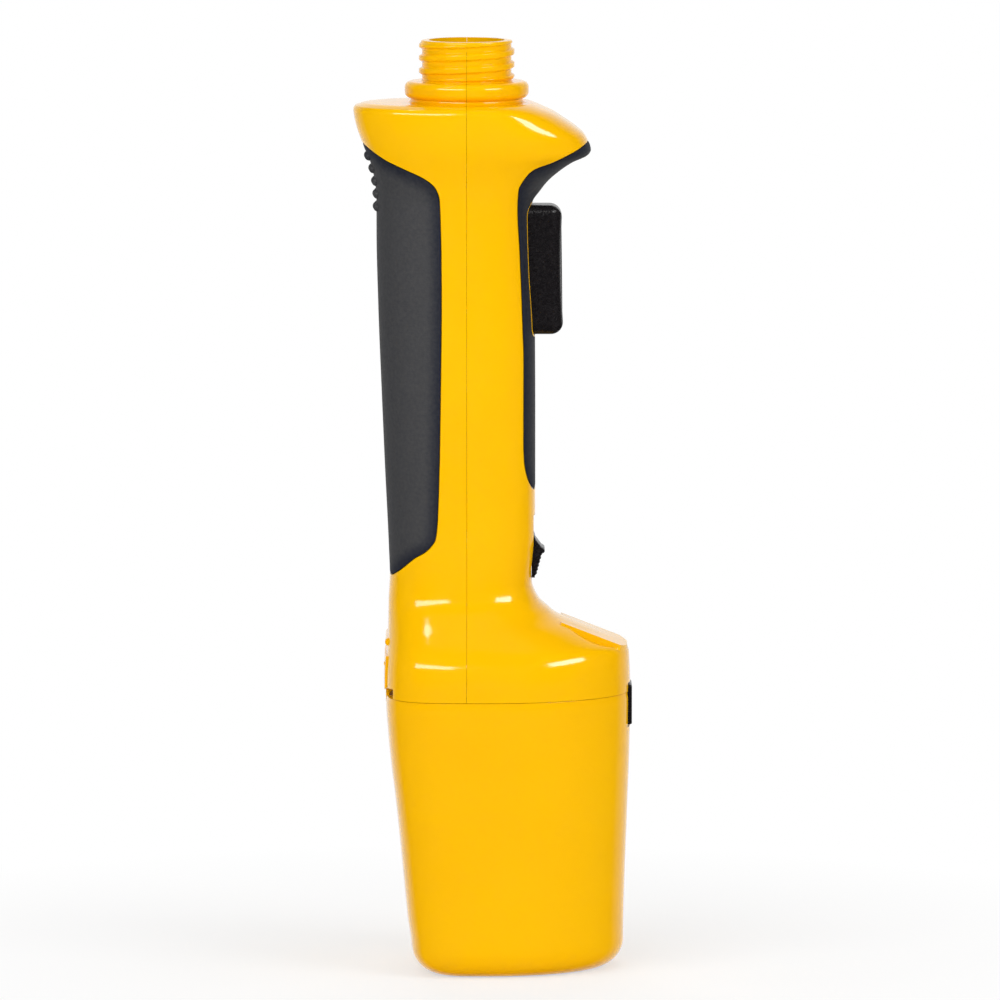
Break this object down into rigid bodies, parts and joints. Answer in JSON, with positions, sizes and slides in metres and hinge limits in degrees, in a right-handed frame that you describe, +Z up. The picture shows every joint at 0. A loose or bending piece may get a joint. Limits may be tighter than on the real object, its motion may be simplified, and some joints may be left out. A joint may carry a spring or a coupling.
{
  "type": "livestock prod handle",
  "caption": "Handheld livestock prod handle with a threaded neck, rubber grips, trigger, safety slider and hinged battery case.",
  "frame": {"origin": "on the flat foot of the battery case, below the neck's axis", "axes": "+Z up the handle along the neck's axis, +X towards the trigger side, Y = 0 is the middle plane"},
  "size_m": [0.0764, 0.061, 0.2557],
  "materials": {
    "yellow_plastic": "gloss",
    "grip_rubber": "matte",
    "black_plastic": "fine grain",
    "steel": "plain",
    "brass": "bright",
    "ivory_plastic": "plain",
    "board_laminate": "solder mask",
    "core_iron": "laminated",
    "copper_wire": "enamelled",
    "capacitor_sleeve": "sleeved",
    "cell_jacket": "satin",
    "red_lead": "plain",
    "black_lead": "plain",
    "pale_lead": "plain"
  },
  "bodies": {
    "handle": {"front_shell": "yellow_plastic", "back_shell": "yellow_plastic", "palm_grip": "grip_rubber", "finger_grip": "grip_rubber", "shell_screws": "steel", "trigger_spring": "steel", "trigger_switch": "black_plastic", "safety_switch": "black_plastic", "circuit_board": "board_laminate", "board_screws": "steel", "transformer_core": "core_iron", "transformer_winding": "copper_wire", "storage_capacitor": "capacitor_sleeve", "power_transistor": "black_plastic", "socket_insert": "black_plastic", "socket_cap": "black_plastic", "output_spring_1": "steel", "output_spring_2": "steel", "contact_plate": "ivory_plastic", "contact_studs": "brass", "plate_screws": "steel", "case_gasket": "grip_rubber", "hinge_pin": "steel", "battery_leads": "red_lead", "safety_leads": "black_lead", "output_leads": "pale_lead"},
    "case": {"battery_case": "yellow_plastic", "latch_pin": "steel", "latch_spring": "steel", "cell_cradle": "black_plastic", "cell_straps": "brass", "cell_spring_1": "steel", "cell_spring_2": "steel", "cell_spring_3": "steel", "battery_cell_1": "cell_jacket", "battery_cell_2": "cell_jacket", "battery_cell_3": "cell_jacket"},
    "trigger": {"trigger": "black_plastic"},
    "plunger": {"switch_plunger": "ivory_plastic"},
    "safety": {"safety_slider": "black_plastic"},
    "latch": {"latch": "black_plastic"},
    "contact_left": {"output_contact_1": "brass"},
    "contact_right": {"output_contact_2": "brass"}
  },
  "joints": [
    {"name": "trigger_slide", "type": "slide", "parent": "handle", "child": "trigger", "axis": [-1, 0, 0], "range_m": [0, 0.0045], "stiffness_N_per_m": 600, "springref_m": -0.004, "deforming": ["trigger_spring"]},
    {"name": "plunger_slide", "type": "slide", "parent": "handle", "child": "plunger", "axis": [-1, 0, 0], "range_m": [0, 0.0045]},
    {"name": "safety_slide", "type": "slide", "parent": "handle", "child": "safety", "axis": [0, 0, 1], "range_m": [0, 0.005]},
    {"name": "case_hinge", "type": "hinge", "parent": "handle", "child": "case", "pos_m": [-0.0203, 0, 0.0767], "axis": [0, 1, 0], "range_deg": [0, 75]},
    {"name": "latch_hinge", "type": "hinge", "parent": "case", "child": "latch", "pos_m": [0.0424, 0, 0.0719], "axis": [0, 1, 0], "range_deg": [0, 12], "stiffness_Nm_per_rad": 0.05, "springref_deg": -11.46, "deforming": ["latch_spring"]},
    {"name": "contact_left_slide", "type": "slide", "parent": "handle", "child": "contact_left", "axis": [0, 0, -1], "range_m": [0, 0.003], "stiffness_N_per_m": 300, "springref_m": -0.003, "deforming": ["output_spring_1"]},
    {"name": "contact_right_slide", "type": "slide", "parent": "handle", "child": "contact_right", "axis": [0, 0, -1], "range_m": [0, 0.003], "stiffness_N_per_m": 300, "springref_m": -0.003, "deforming": ["output_spring_2"]}
  ],
  "couplings": [
    {"joint": "plunger_slide", "follows": "trigger_slide", "ratio": 1}
  ]
}
